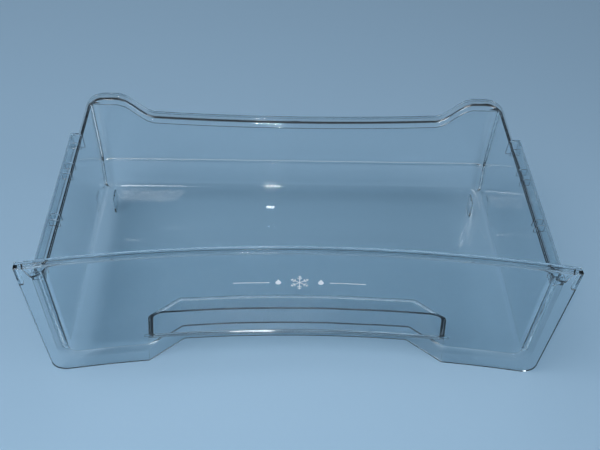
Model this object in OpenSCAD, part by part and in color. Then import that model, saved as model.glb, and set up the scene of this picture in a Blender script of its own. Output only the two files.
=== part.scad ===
// Clear moulded drawer of a fridge, in one piece.
// The front is at -Y, the drawer stands on Z = 0, and X = 0 is its plane of symmetry.

/* [Front panel] */
// Width of the front panel along its top edge
panel_w = 480; // [440:5:560]
// Width of the front panel at the level of its lower edge
panel_foot_w = 460; // [430:5:540]
// Height of the front panel
panel_h = 146; // [138:1:180]
// Wall thickness of the front panel
panel_t = 2.8; // [2:0.1:4]
// How far the middle of the panel is set back from its two ends
panel_bow = 22; // [12:1:34]
// Radius of the two lower corners of the panel
panel_corner_r = 14; // [6:1:24]
// Depth of the flange along the top edge, front face to rear lip
top_flange_d = 8; // [5:0.5:12]
// Height of the rear lip of that flange, its own wall included
top_lip_h = 5; // [3:0.5:8]
// Height of the short thick rib on each side edge of the panel
edge_rib_h = 18; // [10:1:30]

/* [Tub] */
// Inside width of the tub at its side rims
tub_w = 434; // [400:2:440]
// Inside depth from the ends of the panel to the rear wall, at rim level
tub_d = 254; // [220:2:300]
// Height of the side rims
rim_h = 133; // [120:1:136]
// Height of the tub's underside above the surface that it stands on
floor_lift = 22; // [16:1:30]
// Wall and floor thickness of the tub
wall_t = 2.5; // [2:0.1:3.5]
// Inside radius of the tub's floor edges
tub_r = 8; // [5:0.5:12]
// Inside radius of the tub's upright corners
corner_r = 12; // [8:0.5:16]
// Outside radius of those corners, where the wall is thicker
corner_out_r = 6; // [3:0.5:12]
// Draft of the side walls, in degrees
side_draft = 2.5; // [1:0.5:4]
// Draft of the rear wall, in degrees
rear_draft = 3; // [1:0.5:4]
// Radius of the cove that joins the tub's outside to the rear of the panel
cove_r = 11; // [9:1:14]
// Height of the small step between the rear wall and the slope below it
bend_h = 55; // [50:1:75]
// Depth of that step
bend_step = 2.4; // [0.8:0.1:4]
// Height of the soft stretch in which the wall steps forward
bend_soft = 1.6; // [1.4:0.1:6]
// How far the foot of the slope lies in front of the wall above the step
slope_run = 10; // [8:1:30]

/* [Rear rim] */
// Height of the rear rim where its low stretch begins
rear_rim_h = 110.5; // [95:0.5:118]
// How much the low stretch sags towards its middle
rear_rim_sag = 4; // [0:0.5:8]
// Half of the distance between the two raised corners
ear_x = 191; // [170:1:198]
// Half of the width of the low stretch
swoop_x = 153; // [120:1:160]
// Reach of the rear rim behind the inside of the wall
rear_reach = 14; // [9:0.5:18]
// Reach of the side rims beyond the inside of the wall
side_reach = 4.3; // [3.6:0.1:6]
// Width of the rounded edge between the rear wall and its rim
flare_w = 6.5; // [3:0.5:7]
// Height of that edge, from the rim's top to where it begins
flare_h = 7; // [4:0.5:12]
// Thickness of the rims
rim_t = 2.4; // [1.8:0.1:3]
// Height of the small lip along the rear rim's outer edge
rim_lip_h = 1.6; // [0.5:0.1:4]
// Thickness of that lip
rim_lip_t = 1.2; // [0.9:0.1:1.6]

/* [Rails] */
// Distance from the middle of the drawer to the outside of each rail
rail_x = 229; // [226:0.5:236]
// Distance from the panel's ends to the rear end of the rails
rail_end = 197; // [150:1:220]
// Height of the rail's turned-down lip
rail_lip_h = 17; // [10:1:24]
// Wall thickness of the rails
rail_t = 2.2; // [1.6:0.1:3]
// Distance from the panel to the front end of that lip
rail_lip_gap = 12; // [4:1:24]
// Height of the cross ribs under a rail's shelf
rib_h = 7; // [4:0.5:12]
// Thickness of those ribs, and of the web at the front of a rail
rib_t = 1.5; // [1:0.1:2.2]

/* [Finger pocket] */
// Half of the pocket's width at the panel
pocket_x = 142; // [110:1:150]
// Half of the pocket's width at its back wall
pocket_back_x = 110; // [80:1:118]
// Depth of the pocket behind the front face, at its lower edge
pocket_d = 24; // [20:0.5:34]
// Height of the pocket's ceiling
pocket_h = 69; // [60:1:80]
// Height of the lower edge of the pull lip
lip_z = 35; // [28:1:40]
// Draft of the pocket's walls, in degrees
pocket_draft = 3; // [1:0.5:5]
// Inside radius of the pocket's edges
pocket_r = 7; // [4:0.5:9]
// Radius of the bead along the lower edge of the pull lip
bead_r = 2.2; // [1.6:0.1:3]

/* [Rear feet] */
// Distance from the rounded edge of the floor to each foot
foot_inset = 1; // [0:1:40]
// Length of each foot, front to rear
foot_len = 16; // [10:1:30]
// Thickness of each foot
foot_t = 1.6; // [1.4:0.1:3]
// Distance from the panel's ends to the feet
foot_y = 218; // [150:1:218]
// Radius of the lower corners of a foot
foot_round = 3; // [1:0.5:6]

/* [Hidden] */
arc_fn = 720;
ball_fn = 32;
over = 20;
axis_r = ((panel_w / 2) * (panel_w / 2) + panel_bow * panel_bow) / (2 * panel_bow);
axis_y = panel_bow - axis_r;
overall_d = tub_d + rear_reach;
floor_z = floor_lift + wall_t;
// Angle of the slope off the vertical, and the middle of its rounded edge with the floor
slope_lean = atan2(slope_run - bend_step, bend_h - floor_z);
heel_y = rear_y(bend_h) - slope_run + tub_r * (tan(slope_lean) - 1 / cos(slope_lean));
rib_places = [10, 17, 72, 80, 136, 151, 182];
edge_round = 0.8;
flange_fillet = 3;
rim_seat = 0.3;
rim_groove = 0.5;
rim_lean = 0.1;
// How much further out and lower the corner under the rear rim lies than under the side rims
rim_corner = [0.6, 0.7];
// Corner points of the rim's inner edge, in shares of the edge's width and height
edge_shape = [[0.04, 0.72], [0.16, 0.45], [0.36, 0.23], [0.64, 0.07]];
// How deep the body of the cove behind the panel lies in those walls
cove_root = 0.7;
// Angle between that cove's edges and its walls
cove_lead = 14;
// How far the pocket's ends run on in front of the panel, as a share of their slant
pocket_front = 0.6;
// The cove behind the panel is no wider than the panel's wing beside the tub, and ends under the rail
cove_fit_r = min(
    cove_r,
    panel_foot_w / 2 - side_x(0) - wall_t - edge_round,
    (rail_x - tub_w / 2 - wall_t - rib_t / 2) / (1 - sin(cove_lead)));
// Middle of the rounded edge between the tub's floor and its side wall
floor_edge = [side_x(floor_z + tub_r) - tub_r / cos(side_draft), floor_z + tub_r];

// Point at distance r from two walls that meet in a point, given their inward normals
function nook(point, n1, n2, r) = point + r * (n1 + n2) / (1 + n1 * n2);

// Inside half width of the tub, and inside of its rear wall, at height z
function side_x(z) = tub_w / 2 - (rim_h - z) * tan(side_draft);
function rear_y(z) = tub_d - (rim_h - z) * tan(rear_draft);

// Front face of the panel at distance x from the middle
function face_y(x) = axis_y + sqrt(axis_r * axis_r - x * x);

// Soft step from 0 to 1
function ease(t) = let (u = min(1, max(0, t))) u * u * (3 - 2 * u);

// Height of the rim along the rear wall
function rear_rim_z(x) =
    let (low = rear_rim_h - rear_rim_sag * (1 - pow(min(1, abs(x) / swoop_x), 2)))
    low + (rim_h - rear_rim_h) * ease((abs(x) - swoop_x) / (ear_x - swoop_x));

// A rounded corner of an outline: points on an arc from angle a to angle b
function arc(centre, r, a, b, steps) =
    [for (i = [0:steps]) centre + r * [cos(a + (b - a) * i / steps), sin(a + (b - a) * i / steps)]];

// Outline of the panel as seen from the front
module panel_outline() {
    half_top = panel_w / 2;
    half_foot = panel_foot_w / 2;
    lean = atan2(half_top - half_foot, panel_h);
    corner = nook([half_foot, 0], [-cos(lean), sin(lean)], [0, 1], panel_corner_r);
    round_right = arc(corner, panel_corner_r, -90, -lean, 10);
    round_left = [for (i = [len(round_right) - 1:-1:0]) [-round_right[i][0], round_right[i][1]]];
    polygon(concat(round_right, [[half_top, panel_h], [-half_top, panel_h]], round_left));
}

// A front view, pushed through the front part of the drawer from front to rear
module through_front(depth) {
    translate([0, depth, 0])
        rotate([90, 0, 0])
            linear_extrude(depth + over)
                children();
}

// A section with its X measured from the front face, swept along the bow of the panel
module along_bow(half_w) {
    half_angle = asin(half_w / axis_r) + 2;
    translate([0, axis_y, 0])
        rotate([0, 0, 90 - half_angle])
            rotate_extrude(angle = 2 * half_angle, $fn = arc_fn)
                translate([axis_r, 0])
                    children();
}

// All that lies in front of a face parallel to the panel's front face
module in_front(offset_y) {
    translate([0, axis_y, -over])
        cylinder(r = axis_r + offset_y, h = panel_h + 2 * over, $fn = arc_fn);
}

// Upright section of the panel with its top flange and lip
module panel_section() {
    lip_t = panel_t - edge_round;
    under = panel_h - rim_t;
    polygon(concat(
        [[0, 0], [panel_t, 0]],
        arc([panel_t + flange_fillet, under - flange_fillet], flange_fillet, 180, 90, 6),
        [[top_flange_d - lip_t, under], [top_flange_d - lip_t, panel_h - top_lip_h]],
        [[top_flange_d, panel_h - top_lip_h]],
        arc([top_flange_d - edge_round, panel_h - edge_round], edge_round, 0, 90, 4),
        arc([edge_round, panel_h - edge_round], edge_round, 90, 180, 4)));
}

// The curved front panel with its flange, side ribs and end caps
module front_panel() {
    intersection() {
        union() {
            along_bow(panel_w / 2) panel_section();
            for (side = [-1, 1])
                panel_end(side);
        }
        through_front(panel_bow + 2 * top_flange_d) panel_outline();
    }
}

// Rib on one side edge of the panel and the cap that closes the flange above it
module panel_end(side) {
    rib_top = panel_h - top_lip_h;
    lean_x = (panel_w - panel_foot_w) / 2 / panel_h;
    rib_bottom = rib_top - edge_rib_h;
    inner = panel_w / 2 - panel_t;
    rib_d = top_flange_d - panel_t;
    mirror([side < 0 ? 1 : 0, 0, 0]) {
        translate([inner, face_y(panel_w / 2) + edge_round, rib_top])
            cube([panel_t, top_flange_d - edge_round, top_lip_h - edge_round]);
        translate([0, rib_d + panel_t / 2, 0])
            rotate([90, 0, 0])
                linear_extrude(rib_d)
                    polygon([
                        [inner - lean_x * edge_rib_h, rib_bottom],
                        [inner + panel_t, rib_bottom],
                        [inner + panel_t, rib_top],
                        [inner, rib_top]]);
    }
}

// How far a wall that leans outward lies from the middle of its rounded lower edge, at a height above that
function beyond_edge(rise, lean, r) =
    rise < -r * sin(lean) ? sqrt(max(0, r * r - rise * rise)) : r / cos(lean) + rise * tan(lean);

// Rear surface of the tub's form at height z: the slope, a soft step and the wall above it
function tub_rear(z, grow) =
    let (
        slope = heel_y + beyond_edge(z - floor_edge[1], slope_lean, tub_r + grow),
        wall = rear_y(z) + grow / cos(rear_draft),
        rise = (z - bend_h) / bend_soft)
    slope + (wall - slope) * ease(rise + 0.5);

// Plan of the tub's form at height z, from well in front of the panel to the rear wall
function tub_ring(z, grow) =
    let (
        rise = z - floor_edge[1],
        r = tub_r + grow,
        half_w = floor_edge[0] + beyond_edge(rise, side_draft, r),
        dip = min(0, rise),
        widest = grow > 0 ? corner_out_r : corner_r,
        plan_r = max(edge_round, widest - r + sqrt(max(0, r * r - dip * dip))),
        middle = [half_w - plan_r, tub_rear(z, grow) - plan_r],
        right = arc(middle, plan_r, 0, 90, 8),
        left = arc([-middle[0], middle[1]], plan_r, 90, 180, 8),
        plan = concat([[-half_w, -over], [half_w, -over]], right, left))
    [for (p = plan) [p[0], p[1], z]];

// The tub's inside as a closed form, or its outside when grown by the wall
module tub_form(grow) {
    edge_steps = 8;
    soft_steps = 7;
    edge = [for (i = [0:edge_steps]) floor_edge[1] - (tub_r + grow) * cos(90 * i / edge_steps)];
    soft = [for (i = [0:soft_steps]) bend_h + bend_soft * (i / soft_steps - 0.5)];
    skin([for (z = concat(edge, soft, [rim_h + over])) tub_ring(z, grow)]);
}

// The finger pocket's inside as a closed form, or its outside when grown by the wall
module pocket_form(grow) {
    run = [pocket_back_x - pocket_x, pocket_d + face_y(pocket_back_x) - face_y(pocket_x)];
    end_n = [-run[1], run[0]] / norm(run);
    inset_top = pocket_h * tan(pocket_draft);
    front = [pocket_x, face_y(pocket_x)] - pocket_front * run + pocket_r * end_n;
    back_y = pocket_d - pocket_r;
    back = nook([pocket_back_x, face_y(pocket_back_x) + pocket_d], end_n, [0, -1], pocket_r);
    along_back = [for (share = [0, 0.25, 0.5, 0.75, 1]) share * back[0]];
    spots = concat([front], [for (x = along_back) [x, face_y(x) + back_y]], [back]);
    hull()
        for (p = spots, side = [-1, 1]) {
            translate([side * p[0], p[1], -over])
                cylinder(r = pocket_r + grow, h = over, $fn = ball_fn);
            translate([side * p[0], p[1] - inset_top, pocket_h - pocket_r])
                sphere(r = pocket_r + grow, $fn = ball_fn);
        }
}

// Section of the rim at a station: f is 0 along a side wall and 1 along the rear wall
function rim_section(f) =
    let (
        reach = side_reach + (rear_reach - side_reach) * f,
        edge_w = edge_round + (flare_w - edge_round) * f,
        drop = rim_drop(f),
        lip = rim_t + rim_lip_h * f,
        web = rim_t - rim_groove + rim_corner[1] * f,
        heel_x = wall_t * (0.5 + 0.5 * f),
        edge = [for (q = edge_shape) [rim_seat + rim_lean + q[0] * edge_w, -q[1] * drop]])
    concat([[rim_seat, -drop]], edge, [
        [rim_seat + rim_lean + edge_w, 0],
        [reach - edge_round, 0],
        [reach, -edge_round],
        [reach, -lip],
        [reach - rim_lip_t, -lip],
        [reach - rim_lip_t - rim_groove / 2, -web],
        [heel_x + rim_groove + rim_corner[0] * f, -web],
        [heel_x, -drop]
    ]);

// Room that the rim takes up: all of the wall that would stand above its lower edge
function rim_room(f, z) =
    let (low = -rim_drop(f) + edge_round, high = rim_h + 2 * over - z)
    [[-wall_t, low], [-wall_t, high], [rear_reach, high], [rear_reach, low]];

// How far the rim's section reaches down
function rim_drop(f) = rim_t + (flare_h - rim_t) * f;

// Stations [x, y, z, direction of the outward normal, f] along the tub's inner edge
function rim_path() =
    let (
        corner_steps = 6,
        rear_steps = 56,
        side_end = rear_y(rim_h) - corner_r,
        corner_x = tub_w / 2 - corner_r,
        start_y = face_y(tub_w / 2) + panel_t / 2,
        corner = [for (i = [0:corner_steps]) let (a = 90 * i / corner_steps)
            [corner_x + corner_r * cos(a), side_end + corner_r * sin(a), rim_h, a, ease(a / 90)]],
        rear = [for (i = [1:rear_steps - 1]) let (x = corner_x - 2 * corner_x * i / rear_steps)
            [x, rear_y(rear_rim_z(x)), rear_rim_z(x), 90, 1]],
        other = [for (i = [corner_steps:-1:0]) let (c = corner[i]) [-c[0], c[1], c[2], 180 - c[3], c[4]]])
    concat(
        [[tub_w / 2, start_y, rim_h, 0, 0]],
        corner,
        rear,
        other,
        [[-tub_w / 2, start_y, rim_h, 180, 0]]);

// A solid through closed rings of points, one after the other
module skin(rings) {
    n = len(rings[0]);
    last = len(rings) - 1;
    sides = [for (i = [0:last - 1], j = [0:n - 1]) let (k = (j + 1) % n)
        each [[i * n + k, i * n + j, (i + 1) * n + k], [(i + 1) * n + k, i * n + j, (i + 1) * n + j]]];
    caps = [[for (j = [0:n - 1]) j], [for (j = [n - 1:-1:0]) last * n + j]];
    polyhedron([for (ring = rings) each ring], concat(sides, caps));
}

// A solid through upright sections, one for each station of a path round the tub
module sweep(path, sections) {
    skin([for (i = [0:len(path) - 1]) let (s = path[i]) [for (q = sections[i])
        [s[0] + q[0] * cos(s[3]), s[1] + q[0] * sin(s[3]), s[2] + q[1]]]]);
}

// The rim, swept from the front end of one side wall round the rear to the other one
module rim() {
    path = rim_path();
    sweep(path, [for (s = path) rim_section(s[4])]);
}

// What is cleared from the walls before the rim takes its place
module rim_clearance() {
    path = rim_path();
    sweep(path, [for (s = path) rim_room(s[4], s[2])]);
}

// Plan of a strip beside the tub, from a given depth behind the panel's front face to a given rear end
module side_strip(inner_x, outer_x, depth, end_y) {
    polygon([
        [inner_x, face_y(inner_x) + depth],
        [outer_x, face_y(outer_x) + depth],
        [outer_x, end_y],
        [inner_x, end_y]]);
}

// Section of a cove between two walls at right angles, with its corner at [0, 0]
function cove_section(r) =
    let (curve = arc([r, r], r, 180 + cove_lead, 270 - cove_lead, 7), reach = curve[0][1] + cove_root)
    concat([[reach, -cove_root], [-cove_root, -cove_root], [-cove_root, reach]], curve);

// Stations [x, z, direction of the outward normal] down one side of the tub, along its floor and up again
function cove_path() =
    let (
        floor_steps = 24,
        rise = rim_h - rim_t / 2 - floor_edge[1],
        top = [floor_edge[0] + rise * tan(side_draft), floor_edge[1] + rise, -side_draft],
        corner = [for (share = [0:0.125:1])
            [floor_edge[0], floor_edge[1], -side_draft - share * (90 - side_draft)]],
        half = concat([top], corner),
        along = [for (i = [1:floor_steps - 1])
            [floor_edge[0] * (1 - 2 * i / floor_steps), floor_edge[1], -90]])
    concat(half, along, [for (i = [len(half) - 1:-1:0]) [-half[i][0], half[i][1], -180 - half[i][2]]]);

// Cove behind the panel, all round the tub's outside
module panel_cove() {
    section = cove_section(cove_fit_r);
    skin([for (s = cove_path()) [for (q = section)
        let (out = tub_r + wall_t + q[0], x = s[0] + out * cos(s[2]))
        [x, face_y(x) + panel_t + q[1], s[1] + out * sin(s[2])]]]);
}

// Rail along one side wall: a shelf level with the rim, a lip turned down and cross ribs
module rail(side) {
    shelf_z = rim_h - rim_t;
    root_x = side_x(shelf_z) + wall_t / 2;
    lip_start = panel_t + rail_lip_gap;
    mirror([side < 0 ? 1 : 0, 0, 0]) {
        translate([0, 0, shelf_z])
            linear_extrude(rim_t)
                side_strip(tub_w / 2 + wall_t / 2, rail_x, panel_t / 2, rail_end);
        translate([0, 0, rim_h - rail_lip_h])
            linear_extrude(rail_lip_h - rim_t / 2)
                side_strip(rail_x - rail_t, rail_x, lip_start, rail_end);
        translate([root_x, rail_end - rail_t, rim_h - rail_lip_h])
            cube([rail_x - root_x - rail_t / 2, rail_t, rail_lip_h - rim_t / 2]);
        for (y = rib_places)
            translate([root_x, y, shelf_z - rib_h])
                cube([rail_x - root_x - rail_t / 2, rib_t, rib_h + rim_t / 2]);
    }
}

// Slanted web from the front of a rail up to the end of the panel's flange
module rail_web(side) {
    foot = [rail_x - rib_t, rim_h - rail_t];
    head = [panel_w / 2 - 3 * rail_t, panel_h - rim_t];
    start_y = face_y(rail_x) + panel_t / 2;
    mirror([side < 0 ? 1 : 0, 0, 0])
        translate([0, top_flange_d, 0])
            rotate([90, 0, 0])
                linear_extrude(top_flange_d - start_y)
                    polygon([foot, foot + [rib_t, 0], head + [rib_t, 0], head]);
}

// Foot under the rear of the tub: a web beside the floor's edge, with rounded lower corners
module rear_foot(side) {
    rear_end = foot_y + foot_len;
    top_z = floor_z - wall_t / 2;
    mirror([side < 0 ? 1 : 0, 0, 0])
        translate([floor_edge[0] - foot_inset - foot_t, 0, 0])
            rotate([90, 0, 90])
                linear_extrude(foot_t)
                    polygon(concat(
                        arc([foot_y + foot_round, foot_round], foot_round, 180, 270, 6),
                        arc([rear_end - foot_round, foot_round], foot_round, 270, 360, 6),
                        [[rear_end, top_z], [foot_y, top_z]]));
}

// Everything behind the panel that grows out of the tub's outside
module tub_outside() {
    difference() {
        tub_form(wall_t);
        translate([-panel_w, -panel_w, rim_h - rim_t / 2])
            cube(2 * panel_w);
        rim_clearance();
    }
}

// The pocket's walls, standing on the same surface as the panel
module pocket_outside() {
    intersection() {
        pocket_form(wall_t);
        translate([-panel_w / 2, -over, 0])
            cube([panel_w, tub_d, pocket_h + 2 * wall_t]);
    }
}

// The whole drawer
module drawer() {
    color([0.72, 0.86, 0.92, 0.45])
        translate([0, -overall_d / 2, 0])
            difference() {
                union() {
                    difference() {
                        tub_outside();
                        tub_form(0);
                        in_front(panel_t / 2);
                    }
                    rim();
                    front_panel();
                    panel_cove();
                    lip_bead();
                    difference() {
                        pocket_outside();
                        in_front(panel_t / 2);
                    }
                    for (side = [-1, 1]) {
                        rail(side);
                        rail_web(side);
                        rear_foot(side);
                    }
                }
                pocket_inside();
            }
}

// Bead along the lower edge of the pull lip
module lip_bead() {
    intersection() {
        along_bow(pocket_x)
            translate([panel_t / 2, lip_z + bead_r])
                circle(r = bead_r, $fn = ball_fn);
        through_front(panel_bow + 2 * top_flange_d)
            translate([-pocket_x - wall_t / 2, 0])
                square([2 * pocket_x + wall_t, pocket_h]);
    }
}

// Hollow of the pocket behind the lip, with the opening below the lip
module pocket_inside() {
    difference() {
        pocket_form(0);
        difference() {
            in_front(panel_t);
            translate([-panel_w, -panel_w, -2 * over])
                cube([2 * panel_w, 2 * panel_w, 2 * over + lip_z]);
        }
        along_bow(pocket_x)
            translate([panel_t / 2, lip_z + bead_r])
                circle(r = bead_r, $fn = ball_fn);
    }
}

drawer();
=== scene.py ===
"""Looks of a clear moulded fridge drawer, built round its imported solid.

The camera stands where the photograph was taken from, and the drawer stands on a plain pale floor.
"""

import logging
import math
from collections.abc import Callable
from dataclasses import dataclass
from enum import Enum

import bpy
from mathutils import Matrix, Vector


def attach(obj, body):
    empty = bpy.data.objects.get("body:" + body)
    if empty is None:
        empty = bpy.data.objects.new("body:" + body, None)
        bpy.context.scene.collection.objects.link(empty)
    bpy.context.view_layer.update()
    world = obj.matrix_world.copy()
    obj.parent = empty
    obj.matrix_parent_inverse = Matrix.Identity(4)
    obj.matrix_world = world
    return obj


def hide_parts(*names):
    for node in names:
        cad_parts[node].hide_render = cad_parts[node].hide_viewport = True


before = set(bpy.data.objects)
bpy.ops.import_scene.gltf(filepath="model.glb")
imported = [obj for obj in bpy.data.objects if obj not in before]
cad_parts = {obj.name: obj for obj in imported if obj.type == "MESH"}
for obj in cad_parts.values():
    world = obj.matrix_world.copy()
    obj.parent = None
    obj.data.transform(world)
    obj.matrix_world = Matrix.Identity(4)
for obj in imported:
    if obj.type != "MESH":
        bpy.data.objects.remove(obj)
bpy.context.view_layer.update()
MM = 0.001
BODY = "root"
log = logging.getLogger("drawer")

Colour = tuple[float, float, float]
Point = tuple[float, float, float]
Pair = tuple[float, float]
UNIT: Pair = (0.0, 1.0)
BEVEL_SAMPLES = 4


def rgba(colour: Colour) -> tuple[float, float, float, float]:
    """Returns the colour with full opacity."""
    return (*colour, 1.0)


def only_active(piece: bpy.types.Object) -> None:
    """Makes one object the only selected one.

    Args:
        piece: The object that the next operators work on.
    """
    bpy.ops.object.select_all(action="DESELECT")
    piece.select_set(True)
    bpy.context.view_layer.objects.active = piece


def select_vertices(piece: bpy.types.Object, chosen: Callable[[Vector], bool]) -> None:
    """Goes into edit mode with some of an object's vertices selected.

    Args:
        piece: The object to edit.
        chosen: Says of a vertex's place whether it is selected.
    """
    only_active(piece)
    bpy.ops.object.mode_set(mode="EDIT")
    bpy.ops.mesh.select_mode(type="VERT")
    bpy.ops.mesh.select_all(action="DESELECT")
    bpy.ops.object.mode_set(mode="OBJECT")
    for vertex in piece.data.vertices:
        vertex.select = chosen(vertex.co)
    bpy.ops.object.mode_set(mode="EDIT")


def apply_modifier(piece: bpy.types.Object, kind: str, **settings: object) -> None:
    """Adds a modifier, sets it up and applies it.

    Args:
        piece: The object that gets it.
        kind: Blender's name of the modifier's type.
        **settings: Values of the modifier's own properties.
    """
    only_active(piece)
    modifier = piece.modifiers.new(kind.lower(), kind)
    for name, value in settings.items():
        setattr(modifier, name, value)
    bpy.ops.object.modifier_apply(modifier=modifier.name)


def join(pieces: list[bpy.types.Object], name: str) -> bpy.types.Object:
    """Joins objects into one whose place is in its mesh.

    Args:
        pieces: The objects, which the first one takes in.
        name: Name of the joined object.

    Returns:
        The joined object.
    """
    bpy.ops.object.select_all(action="DESELECT")
    for piece in pieces:
        piece.select_set(True)
    bpy.context.view_layer.objects.active = pieces[0]
    if len(pieces) > 1:
        bpy.ops.object.join()
    joined = bpy.context.active_object
    joined.name = name
    bpy.ops.object.transform_apply(location=True, rotation=True, scale=True)
    return joined


class Shader:
    """A node tree with short ways to add and link nodes."""

    def __init__(self, tree: bpy.types.NodeTree) -> None:
        """Keeps the tree to work on."""
        self.tree = tree

    def add(self, kind: str, inputs: dict[str, object] | None = None, **settings: object) -> bpy.types.Node:
        """Adds a node.

        Args:
            kind: Blender's name of the node's type.
            inputs: Values, or output sockets to link from, by the input's name.
            **settings: Values of the node's own properties.

        Returns:
            The new node.
        """
        node = self.tree.nodes.new(kind)
        for name, value in settings.items():
            setattr(node, name, value)
        for name, value in (inputs or {}).items():
            socket = node.inputs[int(name)] if name.isdigit() else node.inputs[name]
            if isinstance(value, bpy.types.NodeSocket):
                self.tree.links.new(value, socket)
            else:
                socket.default_value = value
        return node

    def maths(self, operation: str, a: object, b: object = 0.0) -> bpy.types.NodeSocket:
        """Adds a Math node.

        Args:
            operation: Blender's name of the operation.
            a: First value or socket.
            b: Second value or socket.

        Returns:
            The socket with the result.
        """
        return self.add("ShaderNodeMath", {"0": a, "1": b}, operation=operation).outputs[0]

    def spread(self, value: object, own: Pair = UNIT, to: Pair = UNIT) -> bpy.types.NodeSocket:
        """Maps a range of values to another one and keeps it within that.

        Args:
            value: Value or socket to map.
            own: Start and end of its own range.
            to: What that start and end become.

        Returns:
            The socket with the result.
        """
        inputs = {"Value": value, "From Min": own[0], "From Max": own[1], "To Min": to[0], "To Max": to[1]}
        return self.add("ShaderNodeMapRange", inputs).outputs[0]

    def mix(self, mask: bpy.types.NodeSocket, first: object, second: Colour) -> bpy.types.NodeSocket:
        """Mixes two colours.

        Args:
            mask: Share of the second colour.
            first: A colour with its opacity, or the socket of one.
            second: The other colour.

        Returns:
            The socket with the mixed colour.
        """
        inputs = {"0": mask, "6": first, "7": rgba(second)}
        return self.add("ShaderNodeMix", inputs, data_type="RGBA").outputs[2]


def bare_material(name: str) -> tuple[bpy.types.Material, Shader]:
    """Makes a material whose node tree is empty.

    Args:
        name: The material's name.

    Returns:
        The material and its node tree.
    """
    made = bpy.data.materials.new(name)
    made.use_nodes = True
    made.node_tree.nodes.clear()
    return made, Shader(made.node_tree)


@dataclass(frozen=True)
class MouldedSurface:
    """Marks that every moulded surface bears: faint flow waves, fine scuffs and specks of dust."""

    wave_height: float = 0.02 * MM
    wave_scale: float = 30.0
    wave_detail: float = 2.0
    scuffs: float = 0.5
    dust: float = 0.5
    streak_scale: Point = (26.0, 240.0, 190.0)
    streak_detail: float = 6.0
    streak_range: Pair = (0.56, 0.74)
    speck_scale: float = 160.0
    speck_range: Pair = (0.09, 0.03)
    patch_scale: float = 24.0
    patch_detail: float = 3.0
    patch_range: Pair = (0.5, 0.62)

    def noise(
        self, shader: Shader, place: bpy.types.NodeSocket, scale: object, detail: float
    ) -> bpy.types.NodeSocket:
        """Adds a noise pattern and returns its grey value."""
        made = shader.add("ShaderNodeTexNoise", {"Vector": place, "Scale": scale, "Detail": detail})
        return made.outputs["Fac"]

    def group(self) -> bpy.types.NodeTree:
        """Builds the shader group.

        Returns:
            The group, with masks from 0 to 1 for scuffs and dust and a height in metres.
        """
        made = bpy.data.node_groups.new("moulded_surface", "ShaderNodeTree")
        inputs = {
            "Wave Height": self.wave_height,
            "Wave Scale": self.wave_scale,
            "Scuffs": self.scuffs,
            "Dust": self.dust,
        }
        for name, value in inputs.items():
            socket = made.interface.new_socket(name, in_out="INPUT", socket_type="NodeSocketFloat")
            socket.default_value = value
        for name in ("Scuff Mask", "Dust Mask", "Height"):
            made.interface.new_socket(name, in_out="OUTPUT", socket_type="NodeSocketFloat")
        shader = Shader(made)
        given = shader.add("NodeGroupInput").outputs
        place = shader.add("ShaderNodeTexCoord").outputs["Object"]
        waves = self.noise(shader, place, given["Wave Scale"], self.wave_detail)
        stretched = shader.add("ShaderNodeMapping", {"Vector": place, "Scale": self.streak_scale}).outputs[0]
        streaks = shader.spread(self.noise(shader, stretched, 1.0, self.streak_detail), self.streak_range)
        cells = shader.add("ShaderNodeTexVoronoi", {"Vector": place, "Scale": self.speck_scale})
        specks = shader.spread(cells.outputs["Distance"], self.speck_range)
        patches = shader.spread(
            self.noise(shader, place, self.patch_scale, self.patch_detail), self.patch_range)
        shader.add("NodeGroupOutput", {
            "Scuff Mask": shader.maths("MULTIPLY", streaks, given["Scuffs"]),
            "Dust Mask": shader.maths("MULTIPLY", shader.maths("MULTIPLY", specks, patches), given["Dust"]),
            "Height": shader.maths("MULTIPLY", waves, given["Wave Height"]),
        })
        return made


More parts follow.
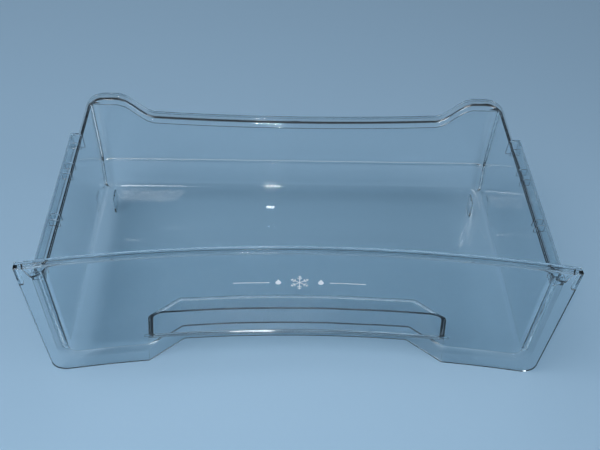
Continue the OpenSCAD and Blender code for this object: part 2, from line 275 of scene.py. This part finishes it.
@dataclass(frozen=True)
class ClearPlastic:
    """Glossy transparent plastic, with a faint tint that shows in thick edges."""

    name: str
    surface: bpy.types.NodeTree
    tint: Colour = (0.90, 0.945, 0.965)
    dust_colour: Colour = (0.80, 0.83, 0.86)
    ior: float = 1.53
    roughness: Pair = (0.012, 0.10)
    wave_height: float = 0.012 * MM
    wave_scale: float = 26.0
    scuffs: float = 0.6
    dust: float = 0.35
    lamp_pass: Colour = (0.92, 0.95, 0.96)
    edge_pass: Colour = (0.40, 0.47, 0.50)
    shadow_pass: Colour = (0.22, 0.27, 0.31)
    shadow_radius: float = 1.8 * MM
    shadow_range: Pair = (0.97, 0.80)
    facing_blend: float = 0.35
    edge_radius: float = 0.35 * MM
    absorbs: Colour = (0.55, 0.72, 0.74)
    absorbs_density: float = 5.0

    def near_edges(self, shader: Shader) -> bpy.types.NodeSocket:
        """Finds the narrow stretches beside edges, which bend a lamp's light away.

        Args:
            shader: The material's node tree.

        Returns:
            A mask that is 1 at an edge and 0 on flat walls.
        """
        rounded = shader.add("ShaderNodeBevel", {"Radius": self.shadow_radius}, samples=BEVEL_SAMPLES)
        own_normal = shader.add("ShaderNodeNewGeometry").outputs["Normal"]
        same = shader.add(
            "ShaderNodeVectorMath", {"0": rounded.outputs[0], "1": own_normal}, operation="DOT_PRODUCT")
        return shader.spread(shader.maths("ABSOLUTE", same.outputs["Value"]), self.shadow_range)

    def material(self) -> bpy.types.Material:
        """Builds the material.

        Returns:
            A glass-like material that lets lamps and diffuse light straight through.
        """
        made, shader = bare_material(self.name)
        given = {
            "Wave Height": self.wave_height,
            "Wave Scale": self.wave_scale,
            "Scuffs": self.scuffs,
            "Dust": self.dust,
        }
        surface = shader.add("ShaderNodeGroup", node_tree=self.surface)
        for name, value in given.items():
            surface.inputs[name].default_value = value
        colour = shader.mix(surface.outputs["Dust Mask"], rgba(self.tint), self.dust_colour)
        edges = shader.add("ShaderNodeBevel", {"Radius": self.edge_radius}, samples=BEVEL_SAMPLES)
        bump = shader.add("ShaderNodeBump", {
            "Height": surface.outputs["Height"],
            "Strength": 1.0,
            "Distance": 1.0,
            "Normal": edges.outputs[0],
        })
        plastic = shader.add("ShaderNodeBsdfPrincipled", {
            "Base Color": colour,
            "Roughness": shader.spread(surface.outputs["Scuff Mask"], to=self.roughness),
            "IOR": self.ior,
            "Transmission Weight": 1.0,
            "Normal": bump.outputs[0],
        })
        facing = shader.add("ShaderNodeLayerWeight", {"Blend": self.facing_blend})
        passes = shader.mix(facing.outputs["Facing"], rgba(self.lamp_pass), self.edge_pass)
        held = shader.mix(self.near_edges(shader), passes, self.shadow_pass)
        clear = shader.add("ShaderNodeBsdfTransparent", {"Color": held})
        path = shader.add("ShaderNodeLightPath")
        straight = shader.maths("MAXIMUM", path.outputs["Is Shadow Ray"], path.outputs["Is Diffuse Ray"])
        mixed = shader.add(
            "ShaderNodeMixShader", {"0": straight, "1": plastic.outputs[0], "2": clear.outputs[0]})
        volume = shader.add(
            "ShaderNodeVolumeAbsorption",
            {"Color": rgba(self.absorbs), "Density": self.absorbs_density},
        )
        shader.add("ShaderNodeOutputMaterial", {"Surface": mixed.outputs[0], "Volume": volume.outputs[0]})
        return made


@dataclass(frozen=True)
class PrintInk:
    """White ink, printed on plastic, a little worn."""

    name: str
    surface: bpy.types.NodeTree
    colour: Colour = (0.93, 0.94, 0.95)
    worn: Colour = (0.74, 0.79, 0.83)
    roughness: Pair = (0.42, 0.6)
    scuffs: float = 1.0

    def material(self) -> bpy.types.Material:
        """Builds the material.

        Returns:
            A matt white material with faint wear.
        """
        made, shader = bare_material(self.name)
        surface = shader.add("ShaderNodeGroup", node_tree=self.surface)
        surface.inputs["Scuffs"].default_value = self.scuffs
        worn = surface.outputs["Scuff Mask"]
        ink = shader.add("ShaderNodeBsdfPrincipled", {
            "Base Color": shader.mix(worn, rgba(self.colour), self.worn),
            "Roughness": shader.spread(worn, to=self.roughness),
        })
        shader.add("ShaderNodeOutputMaterial", {"Surface": ink.outputs[0]})
        return made


@dataclass
class Moulding:
    """The drawer itself: a copy of its solid, welded and evenly shaded."""

    finish: ClearPlastic
    node: str = "drawer"
    weld: float = 0.002 * MM
    crease: float = math.radians(32)
    normal_weight: int = 100

    def copy_solid(self) -> bpy.types.Object:
        """Copies the solid's mesh into an object of its own and welds its loose triangles.

        Returns:
            The new object, at the origin.
        """
        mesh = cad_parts[self.node].data.copy()
        piece = bpy.data.objects.new("clear_moulding", mesh)
        bpy.context.scene.collection.objects.link(piece)
        only_active(piece)
        bpy.ops.mesh.customdata_custom_splitnormals_clear()
        bpy.ops.object.mode_set(mode="EDIT")
        bpy.ops.mesh.select_all(action="SELECT")
        bpy.ops.mesh.remove_doubles(threshold=self.weld)
        bpy.ops.mesh.select_all(action="DESELECT")
        bpy.ops.object.mode_set(mode="OBJECT")
        return piece

    def shade(self, piece: bpy.types.Object) -> None:
        """Shades curved stretches smoothly and keeps flat ones flat.

        Args:
            piece: The welded copy.
        """
        only_active(piece)
        bpy.ops.object.shade_smooth_by_angle(angle=self.crease)
        apply_modifier(piece, "WEIGHTED_NORMAL", keep_sharp=True, weight=self.normal_weight)

    def build(self) -> bpy.types.Object:
        """Makes the drawer and dresses it.

        Returns:
            The piece that stands for the solid.
        """
        piece = self.copy_solid()
        self.shade(piece)
        piece.data.materials.clear()
        piece.data.materials.append(self.finish.material())
        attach(piece, BODY)
        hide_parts(self.node)
        return piece


@dataclass
class Print:
    """The white print on the panel: a frost star between two drops and two thin rules."""

    finish: PrintInk
    moulding: bpy.types.Object
    centre: Point = (0.0, -0.15, 0.107)
    star_r: float = 9.0 * MM
    star_arms: int = 6
    star_turn: float = 30.0
    stroke: float = 0.8 * MM
    stroke_cuts: int = 7
    branch: float = 3.1 * MM
    branch_places: Pair = (0.5, 0.78)
    branch_turn: float = 55.0
    branch_taper: float = 1.3
    drop_r: float = 2.5 * MM
    drop_x: float = 19 * MM
    drop_sides: int = 32
    drop_neck: float = 0.75
    drop_tip: Pair = (0.2, 0.7)
    rule_x: float = 43 * MM
    rule_w: float = 32 * MM
    lift: float = 0.04 * MM
    ink: float = 0.03 * MM

    def bar(self, length: float, out: float, turn: float) -> bpy.types.Object:
        """Makes a thin flat bar that points away from the middle of the design.

        Args:
            length: Its length.
            out: Distance from the middle to the bar's own middle.
            turn: Its direction in the plane of the panel, in radians from the right.

        Returns:
            The bar, subdivided so that it can follow the panel.
        """
        bpy.ops.mesh.primitive_plane_add(size=1, location=(out, 0, 0))
        piece = bpy.context.active_object
        piece.scale = (length, self.stroke, 1)
        bpy.ops.object.transform_apply(location=True, rotation=False, scale=True)
        bpy.ops.object.mode_set(mode="EDIT")
        bpy.ops.mesh.select_all(action="SELECT")
        bpy.ops.mesh.subdivide(number_cuts=self.stroke_cuts)
        bpy.ops.object.mode_set(mode="OBJECT")
        piece.rotation_euler = (0, 0, turn)
        bpy.ops.object.transform_apply(location=False, rotation=True, scale=False)
        return piece

    def star(self) -> list[bpy.types.Object]:
        """Makes the arms of the frost star, each with two pairs of short branches.

        Returns:
            The bars of the star.
        """
        bars = []
        for arm in range(self.star_arms):
            turn = math.radians(360 * arm / self.star_arms + self.star_turn)
            bars.append(self.bar(self.star_r, self.star_r / 2, turn))
            for share in self.branch_places:
                length = self.branch * (self.branch_taper - share)
                out = share * self.star_r
                for side in (-1, 1):
                    branch = self.bar(length, length / 2, turn + side * math.radians(self.branch_turn))
                    branch.location = (out * math.cos(turn), out * math.sin(turn), 0)
                    bars.append(branch)
        return bars

    def drop(self, side: int) -> bpy.types.Object:
        """Makes a drop from a disc whose top is narrowed and pulled up.

        Args:
            side: -1 for the left one and 1 for the right one.

        Returns:
            The flat drop.
        """
        bpy.ops.mesh.primitive_circle_add(vertices=self.drop_sides, radius=self.drop_r, fill_type="NGON")
        piece = bpy.context.active_object
        neck = self.drop_neck * self.drop_r
        narrow, rise = self.drop_tip
        select_vertices(piece, lambda place: place.y > neck)
        bpy.ops.transform.resize(value=(narrow, 1, 1), center_override=(0, neck, 0))
        bpy.ops.transform.translate(value=(0, rise * self.drop_r, 0))
        bpy.ops.object.mode_set(mode="OBJECT")
        piece.location = (side * self.drop_x, 0, 0)
        return piece

    def build(self) -> bpy.types.Object:
        """Makes the print, lays it on the panel's front face and dresses it.

        Returns:
            The print as one thin piece.
        """
        parts = self.star() + [self.drop(side) for side in (-1, 1)]
        for side in (-1, 1):
            rule = self.bar(self.rule_w, 0, 0)
            rule.location = (side * self.rule_x, 0, 0)
            parts.append(rule)
        piece = join(parts, "panel_print")
        piece.rotation_euler = (math.radians(90), 0, 0)
        piece.location = self.centre
        bpy.ops.object.transform_apply(location=True, rotation=True, scale=True)
        apply_modifier(piece, "SHRINKWRAP", target=self.moulding, wrap_method="PROJECT",
                       use_project_x=False, use_project_y=True, use_project_z=False,
                       use_positive_direction=True, use_negative_direction=False, offset=self.lift)
        apply_modifier(piece, "SOLIDIFY", thickness=self.ink, offset=0)
        piece.data.materials.clear()
        piece.data.materials.append(self.finish.material())
        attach(piece, BODY)
        return piece


@dataclass(frozen=True)
class LampSize:
    """Place, target, size and power of a rectangular soft lamp."""

    place: Point
    target: Point
    size: Pair
    watts: float


class Lamp(Enum):
    """The lamps: a soft main one, a fill and two small ones whose glints show on bends and edges."""

    MAIN = LampSize((-1.1, -0.5, 2.2), (0, 0, 0), (1.6, 1.2), 28.0)
    FILL = LampSize((1.9, -0.9, 1.6), (0, 0, 0), (1.2, 1.2), 10.0)
    FRONT = LampSize((-0.026, -0.60, 0.75), (0, 0.05, 0), (0.05, 0.03), 2.5)
    CEILING = LampSize((-0.03, 1.97, 1.81), (0, 0, 0.05), (0.035, 0.008), 0.06)


@dataclass
class Studio:
    """The floor, lamps, world and camera round the drawer."""

    floor_colour: Colour = (0.36, 0.55, 0.74)
    floor_roughness: float = 0.32
    floor_specular: float = 0.35
    floor_sides: int = 96
    horizon: Colour = (0.50, 0.62, 0.74)
    zenith: Colour = (0.035, 0.045, 0.055)
    sky_range: Pair = (0.12, 0.55)
    floor_radius: float = 14.0
    floor_gap: float = 0.3 * MM
    camera_place: Point = (-0.02606, -0.60176, 0.66101)
    look: Point = (0.03497, 0.71227, -0.70104)
    right: Point = (0.99932, -0.01667, 0.03292)
    focal_pixels: float = 829.14
    frame_pixels: int = 600
    sensor: float = 36.0
    nearest: float = 0.01

    def floor(self) -> None:
        """Lays a plain pale floor just under the drawer."""
        bpy.ops.mesh.primitive_circle_add(
            vertices=self.floor_sides, radius=self.floor_radius, fill_type="NGON",
            location=(0, 0, -self.floor_gap))
        ground = bpy.context.active_object
        ground.name = "floor"
        made, shader = bare_material("pale_floor")
        paint = shader.add("ShaderNodeBsdfPrincipled", {
            "Base Color": rgba(self.floor_colour),
            "Roughness": self.floor_roughness,
            "Specular IOR Level": self.floor_specular,
        })
        shader.add("ShaderNodeOutputMaterial", {"Surface": paint.outputs[0]})
        ground.data.materials.append(made)

    def world(self) -> None:
        """Sets a soft pale surrounding that darkens upwards."""
        world = bpy.data.worlds.new("studio")
        bpy.context.scene.world = world
        world.use_nodes = True
        world.node_tree.nodes.clear()
        shader = Shader(world.node_tree)
        up = shader.add("ShaderNodeSeparateXYZ", {"0": shader.add("ShaderNodeTexCoord").outputs["Generated"]})
        height = shader.spread(up.outputs["Z"], self.sky_range)
        tone = shader.mix(height, rgba(self.horizon), self.zenith)
        light = shader.add("ShaderNodeBackground", {"Color": tone, "Strength": 1.0})
        shader.add("ShaderNodeOutputWorld", {"Surface": light.outputs[0]})

    def hang(self, lamp: Lamp) -> None:
        """Hangs one of the lamps and turns it to its target."""
        given = lamp.value
        data = bpy.data.lights.new(lamp.name.lower(), "AREA")
        data.shape = "RECTANGLE"
        data.size, data.size_y = given.size
        data.energy = given.watts
        hung = bpy.data.objects.new(data.name, data)
        bpy.context.scene.collection.objects.link(hung)
        hung.location = given.place
        turn = (Vector(given.target) - Vector(given.place)).to_track_quat("-Z", "Y")
        hung.rotation_euler = turn.to_euler()

    def camera(self) -> None:
        """Sets the camera where the photograph was taken from."""
        look, right = Vector(self.look), Vector(self.right)
        up = right.cross(look).normalized()
        data = bpy.data.cameras.new("photo_view")
        data.sensor_fit = "HORIZONTAL"
        data.sensor_width = self.sensor
        data.lens = self.focal_pixels / self.frame_pixels * self.sensor
        data.clip_start = self.nearest
        camera = bpy.data.objects.new("photo_view", data)
        bpy.context.scene.collection.objects.link(camera)
        turn = Matrix((right, up, -look)).transposed().to_4x4()
        camera.matrix_world = Matrix.Translation(self.camera_place) @ turn
        bpy.context.scene.camera = camera

    def build(self) -> None:
        """Sets up all that surrounds the drawer."""
        bpy.context.scene.view_settings.view_transform = "Standard"
        self.floor()
        self.world()
        for lamp in Lamp:
            self.hang(lamp)
        self.camera()


def main() -> None:
    """Builds the studio and the drawer in order and reports each piece."""
    logging.basicConfig(level=logging.INFO, format="%(message)s")
    Studio().build()
    surface = MouldedSurface().group()
    moulding = Moulding(ClearPlastic("clear_plastic_moulding", surface)).build()
    printed = Print(PrintInk("white_print", surface), moulding).build()
    for piece in (moulding, printed):
        log.info("%s: %d faces", piece.name, len(piece.data.polygons))


if __name__ == "__main__":
    main()
